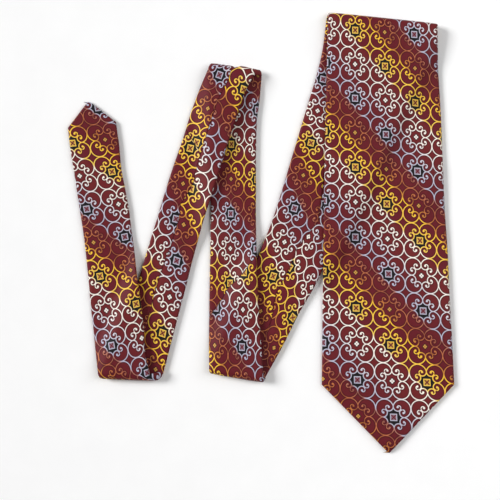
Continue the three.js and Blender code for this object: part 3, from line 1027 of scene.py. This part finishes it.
def satin_material():
    s = Shader("tipping_satin")
    p = s.place()
    x, y, _ = s.split(p)
    rib = s.math("SINE", s.math("MULTIPLY", s.math("ADD", x, s.math("MULTIPLY", y, 0.35)), 15000.0))
    cloud = s.noise(p, 60.0, 3.0)
    k = s.math("ADD", s.math("MULTIPLY", rib, 0.12), cloud)
    s.put(s.bsdf.inputs["Base Color"], s.ramp(k, [(0.25, colour(74, 18, 32)), (0.75, colour(112, 34, 50))]))
    s.put(s.bsdf.inputs["Roughness"], s.math("ADD", s.math("MULTIPLY", cloud, 0.2), 0.25))
    s.bump(s.math("ADD", rib, cloud), 0.3, 0.00005)
    s.uniform(Anisotropic=0.5, Sheen_Weight=0.2)
    return s.material


def wool_material():
    s = Shader("wool_interlining")
    p = s.place()
    x, y, _ = s.split(p)
    warp = s.math("SINE", s.math("MULTIPLY", s.math("ADD", x, y), 6000.0))
    weft = s.math("SINE", s.math("MULTIPLY", s.math("SUBTRACT", x, y), 6000.0))
    grid = s.math("MULTIPLY", warp, weft)
    fuzz = s.noise(p, 900.0, 4.0, 0.7)
    k = s.math("ADD", s.math("MULTIPLY", grid, 0.2), fuzz)
    s.put(s.bsdf.inputs["Base Color"], s.ramp(k, [(0.2, colour(196, 186, 164)), (0.8, colour(236, 229, 212))]))
    s.put(s.bsdf.inputs["Roughness"], s.math("ADD", s.math("MULTIPLY", fuzz, 0.15), 0.8))
    s.bump(k, 0.6, 0.0002)
    s.uniform(Sheen_Weight=0.4)
    return s.material


def thread_material():
    s = Shader("sewing_thread")
    p = s.place()
    x, y, z = s.split(p)
    ply = s.math("SINE", s.math("MULTIPLY", s.math("ADD", s.math("ADD", x, s.math("MULTIPLY", y, 0.8)), z), 14000.0))
    fuzz = s.noise(p, 2500.0, 3.0)
    k = s.math("ADD", s.math("MULTIPLY", ply, 0.25), fuzz)
    s.put(s.bsdf.inputs["Base Color"], s.ramp(k, [(0.2, colour(62, 16, 26)), (0.8, colour(112, 34, 46))]))
    s.put(s.bsdf.inputs["Roughness"], s.math("ADD", s.math("MULTIPLY", fuzz, 0.2), 0.5))
    s.bump(k, 0.5, 0.0001)
    return s.material


SILK_MAT, SATIN_MAT, WOOL_MAT, THREAD_MAT = silk_material(), satin_material(), wool_material(), thread_material()

# ------------------------------------------------------------------ pieces

BODY_OF = {"blade_end": "blade_end", "upper_blade": "upper_blade", "neck_run": "neck_run", "tail_run": "tail_run", "tail_end": "tail_end"}
STANDS_FOR = {
    "blade_end": ("blade_end_shell", "blade_fold", "upper_blade_shell"),
    "upper_blade": ("neck_fold", "neck_run_blade_panel"),
    "neck": ("neck_run_neck_panel", "tail_fold", "tail_run_neck_panel"),
    "tail_end": ("tail_run_tail_panel", "tail_end_fold", "tail_end_shell"),
}


def lining_outline(r, i):
    w = max(r.w - 2.3 - (0 if r.fold else 0.3), 0.3)
    q = np.concatenate([np.linspace(-w, w, 11), np.linspace(w, -w, 11)])
    h = np.concatenate([np.full(11, 0.95), np.full(11, 2.1)])
    h[0] = h[10] = 1.3
    h[11] = h[21] = 1.75
    return q, h


def stitch_outline(r, i):
    a = 2 * math.pi * np.arange(6) / 6
    wander = 0.45 * math.sin(i * 1.3)
    return r.c - 1.9 + wander + 0.19 * np.cos(a), THICK - 0.52 - 0.10 * math.cos(i * 1.3) + 0.10 * np.sin(a)


def tipping_outline(r, i):
    w = max(r.w - 3.0, 0.3)
    q = np.concatenate([np.linspace(-w, w, 9), np.linspace(w, -w, 9)])
    return q, np.concatenate([np.full(9, 2.25), np.full(9, 2.6)])


pieces = {}
for name, (i0, i1, fold, bodies) in LENGTHS.items():
    cloth = silk_length(name, SILK_MAT)
    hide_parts(*STANDS_FOR[name])
    length = sum(np.linalg.norm(rings[i + 1].frame()[0] - rings[i].frame()[0]) for i in range(i0, i1)) * MM + 0.0148
    pieces["silk", name] = cloth

    j0 = i0 + (8 if i0 == 0 else 0)
    j1 = i1 - (6 if i1 == NR - 1 else 0)
    lining = swept("interlining_" + name, WOOL_MAT, j0, j1, lining_outline, fold)
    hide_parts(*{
        "blade_end": ("blade_end_interlining", "upper_blade_interlining"), "upper_blade": ("upper_blade_interlining",),
        "neck": ("neck_run_interlining",), "tail_end": ("tail_run_interlining", "tail_end_interlining")}[name])
    pieces["interlining", name] = lining

    closed = [i for i in range(i0, i1 + 1) if rings[i].g < 0.6]
    stitch = swept("slip_stitch_" + name, THREAD_MAT, closed[0], closed[-1], stitch_outline, fold)
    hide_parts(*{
        "blade_end": ("blade_end_slip_stitch",), "upper_blade": ("upper_blade_slip_stitch",),
        "neck": ("neck_run_slip_stitch",), "tail_end": ("tail_run_slip_stitch", "tail_end_slip_stitch")}[name])
    pieces["stitch", name] = stitch

# tippings: the satin that lines each point, shown in the opening of the back
blade_tack_at = max(i for i in range(first_ring["blade_end"], last_ring["blade_end"]) if rings[i].g > 0.05) + 1
tail_tack_at = min(i for i in range(first_ring["tail_end"], last_ring["tail_end"]) if rings[i].g > 0.05) - 1
tip_a = swept("tipping_blade", SATIN_MAT, 6, blade_tack_at + 7, tipping_outline, body="blade_end")
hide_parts("blade_tipping")
tip_b = swept("tipping_tail", SATIN_MAT, tail_tack_at - 6, NR - 6, tipping_outline, body="tail_end")
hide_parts("tail_tipping")


def bar_tack(name, at, step, body, node):
    lines = []
    for k in range(7):
        f = at + step * (k - 3) * 0.16
        c = rings[int(f)].c
        pts = []
        for t in np.linspace(-1, 1, 9):
            q = c + 2.3 * t
            h = THICK + 0.12 - 0.55 * t**6
            pts.append(place_between(f, np.array([q]), np.array([h]))[0])
        lines.append(pts)
    obj = join_tubes(name, THREAD_MAT, lines, 0.19)
    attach(obj, body)
    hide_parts(node)
    return obj


bar_tack("bar_tack_blade", blade_tack_at + 0.5, 1, "blade_end", "blade_bar_tack")
bar_tack("bar_tack_tail", tail_tack_at - 0.5, -1, "tail_end", "tail_bar_tack")

# the keeper loop, a folded band of the same silk on the blade's back
loop_at = ring_near("blade_end", LOOP_AT)
loop_mid = rings[int(loop_at)].frame()[0]
step_len = np.linalg.norm(rings[int(loop_at) + 1].frame()[0] - rings[int(loop_at)].frame()[0])
rows, loop_uv = [], []
across = np.concatenate([[-31.2], np.linspace(-30.9, 30.9, 45), [31.2]])
band = [(-7.0, 0.42), (-6.85, 0.14), (-6.4, 0.0), (-3, 0), (0, 0), (3, 0), (6.4, 0.0), (6.85, 0.14), (7.0, 0.42),
        (6.85, 0.70), (6.4, 0.84), (3, 0.86), (0, 0.86), (-3, 0.86), (-6.4, 0.84), (-6.85, 0.70)]
for q in across:
    sink = 0.10 * float(ease(27, 31, abs(q)))
    squeeze = 1.0 if abs(q) < 31 else 0.75
    row = []
    for along, up in band:
        h = THICK + 0.14 - sink + (up - 0.43) * squeeze + 0.43
        row.append(place_between(loop_at + along / step_len, np.array([q]), np.array([h]))[0])
    rows.append(row)
m = len(band)
verts = np.array(rows).reshape(-1, 3)
faces = sweep_faces(len(rows), m).tolist() + [list(range(m)), [(len(rows) - 1) * m + k for k in range(m)][::-1]]
loop = make("keeper_loop_silk", verts, faces, SILK_MAT)
fix_normals(loop)
for title in ("Weave", "WeaveB", "Seam"):
    layer = loop.data.uv_layers.new(name=title)
    for poly in loop.data.polygons:
        for li in poly.loop_indices:
            p = loop.data.vertices[loop.data.loops[li].vertex_index].co / MM
            layer.uv[li].vector = (-9.0, 0.0) if title == "Seam" else ((p.x + p.z) / 26.5 + 0.5, p.y / 26.5)
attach(loop, "blade_end")
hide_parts("keeper_loop")
for side, node in ((-1, "keeper_loop_tack_left"), (1, "keeper_loop_tack_right")):
    lines = []
    for k in range(9):
        along = -6.0 + 1.5 * k
        pts = []
        for t in np.linspace(-1, 1, 7):
            q = side * (30.6 + 1.3 * t)
            h = THICK + (1.10 if side * t < 0 or abs(t) < 0.3 else 0.45) - 0.4 * abs(t) ** 4
            h = THICK + 0.25 + 0.85 * float(ease(0.7, -0.7, t)) - 0.35 * abs(t) ** 6
            pts.append(place_between(loop_at + (along + 0.35 * t) / step_len, np.array([q]), np.array([h]))[0])
        lines.append(pts)
    obj = join_tubes(node.replace("keeper_loop_tack", "loop_stitches"), THREAD_MAT, lines, 0.17)
    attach(obj, "blade_end")
    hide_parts(node)

# the thread of each piecing seam, inside the tie
for run, node in (("neck_run", "blade_neck_seam_thread"), ("tail_run", "neck_tail_seam_thread")):
    (x0, y0), (x1, y1) = PIECING[run]
    pts = []
    n = 34
    for k in range(n + 1):
        t = 0.06 + 0.88 * k / n
        xy = np.array([[x0 + (x1 - x0) * t, y0 + (y1 - y0) * t]])
        z = floor_height(run, xy)[0]
        deep = 0.70 + 0.10 * math.sin(k * math.pi)
        if run == "tail_run":
            deep = THICK - 0.72
        pts.append([xy[0, 0], xy[0, 1], z + (THICK - deep if FACE_UP[run] else deep)])
    obj = join_tubes("seam_thread_" + run, THREAD_MAT, [pts], 0.17)
    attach(obj, run)
    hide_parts(node)

# ------------------------------------------------------------------- stage


def plain_floor():
    mesh = bpy.data.meshes.new("floor")
    k, z = 3.0, -0.0007
    mesh.from_pydata([(-k, -k, z), (k, -k, z), (k, k, z), (-k, k, z)], [], [(0, 1, 2, 3)])
    obj = bpy.data.objects.new("floor", mesh)
    bpy.context.scene.collection.objects.link(obj)
    s = Shader("pale_floor")
    grain = s.noise(s.place(), 40.0, 2.0)
    s.put(s.bsdf.inputs["Base Color"], s.ramp(grain, [(0.3, (0.965, 0.965, 0.965, 1)), (0.7, (0.985, 0.985, 0.985, 1))]))
    s.uniform(Roughness=0.9, Specular_IOR_Level=0.1)
    mesh.materials.append(s.material)


plain_floor()

world = bpy.data.worlds.new("studio")
bpy.context.scene.world = world
world.use_nodes = True
back = world.node_tree.nodes["Background"]
back.inputs[0].default_value = (1.0, 1.0, 1.0, 1.0)
back.inputs[1].default_value = 0.22


def area_light(name, where, target, size, power):
    data = bpy.data.lights.new(name, "AREA")
    data.shape, data.size, data.energy = "SQUARE", size, power
    obj = bpy.data.objects.new(name, data)
    bpy.context.scene.collection.objects.link(obj)
    obj.location = where
    d = (np.array(target) - np.array(where)).astype(float)
    d /= np.linalg.norm(d)
    obj.rotation_euler = (math.acos(-d[2]), 0, math.atan2(-d[0], d[1]) + math.pi) if d[2] > -0.999999 else (0, 0, 0)
    from mathutils import Vector
    obj.rotation_euler = Vector(d).to_track_quat("-Z", "Y").to_euler()
    return obj


area_light("key", (-8.8, 2.6, 6.0), (0, 0, 0), 4.4, 1170.0)
area_light("side", (2.2, 0.9, 1.5), (0, 0, 0), 1.1, 12.0)
area_light("fill", (0.55, 0.10, 1.05), (0.05, 0, 0), 0.6, 3.7)

camera_data = bpy.data.cameras.new("camera")
camera_data.lens, camera_data.sensor_width = 85.0, 36.0
camera_data.clip_start, camera_data.clip_end = 0.01, 20.0
camera = bpy.data.objects.new("camera", camera_data)
bpy.context.scene.collection.objects.link(camera)
camera.location = (-0.00861, -0.01476, 0.004 + 0.410 * 85.0 / 36.0)
camera.rotation_euler = (0, 0, 0)
bpy.context.scene.camera = camera

bpy.context.scene.view_settings.view_transform = "Standard"
bpy.context.scene.view_settings.look = "None"

bpy.context.view_layer.update()
